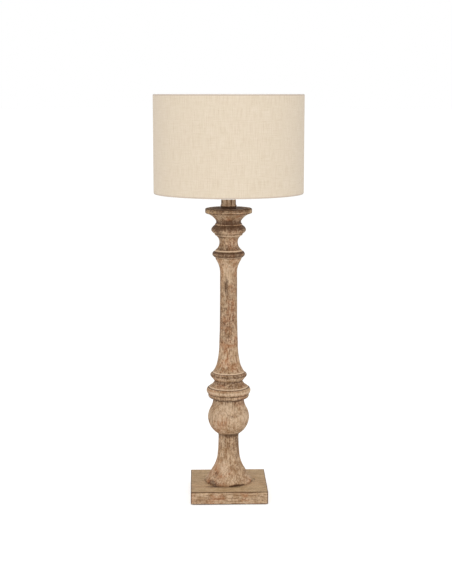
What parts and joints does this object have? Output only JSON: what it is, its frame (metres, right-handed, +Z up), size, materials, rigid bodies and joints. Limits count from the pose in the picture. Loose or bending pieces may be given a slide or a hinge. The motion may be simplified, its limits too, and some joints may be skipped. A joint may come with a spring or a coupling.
{
  "type": "table lamp",
  "caption": "Tall turned-wood candlestick table lamp with a square plinth, drip pan, candle sleeve and a straight linen drum shade.",
  "frame": {"origin": "centre of the footprint, on the table", "axes": "+Z up the column's axis, +X to the right, front faces -Y"},
  "size_m": [0.3, 0.3, 0.8188],
  "materials": {
    "felt": "brushed felt",
    "limed_wood": "limed and waxed, distressed",
    "cord_bush_plastic": "moulded",
    "zinc_steel": "zinc plated",
    "brass": "satin",
    "moulded_insulator": "moulded phenolic",
    "switch_plastic": "polished",
    "linen": "plain weave linen",
    "shade_liner": "matt laminate",
    "coated_wire": "white epoxy coat",
    "bulb_cap_metal": "drawn",
    "black_glass": "pressed black glass",
    "solder": "solder",
    "opal_glass": "opal"
  },
  "bodies": {
    "stand": {"base_pad": "felt", "plinth": "limed_wood", "cord_bush": "cord_bush_plastic", "column": "limed_wood", "drip_pan": "limed_wood", "candle_sleeve": "limed_wood", "threaded_tube": "zinc_steel", "base_washer": "zinc_steel", "base_nut": "zinc_steel", "top_washer": "brass", "top_nut": "brass", "holder_cap": "brass", "holder_insulator": "moulded_insulator", "holder_barrel": "brass", "shade_ring_nut": "brass"},
    "shade": {"shade_cover": "linen", "shade_liner": "shade_liner", "shade_top_ring": "coated_wire", "shade_fitter": "coated_wire"},
    "switch": {"switch_bar": "switch_plastic"},
    "plungers": {"contact_plungers": "brass"},
    "bulb": {"bulb_cap": "bulb_cap_metal", "bulb_base": "black_glass", "bulb_contacts": "solder", "bulb_pins": "brass", "bulb_glass": "opal_glass"}
  },
  "joints": [
    {"name": "shade_turn", "type": "hinge", "parent": "stand", "child": "shade", "pos_m": [0, 0, 0.6567], "axis": [0, 0, 1], "continuous": true},
    {"name": "switch_push", "type": "slide", "parent": "stand", "child": "switch", "axis": [1, 0, 0], "range_m": [0, 0.005]},
    {"name": "plunger_press", "type": "slide", "parent": "stand", "child": "plungers", "axis": [0, 0, -1], "range_m": [0, 0.002], "stiffness_N_per_m": 1500, "springref_m": -0.002},
    {"name": "bulb_twist", "type": "hinge", "parent": "plungers", "child": "bulb", "pos_m": [0, 0, 0.6615], "axis": [0, 0, 1], "range_deg": [0, 20]}
  ]
}
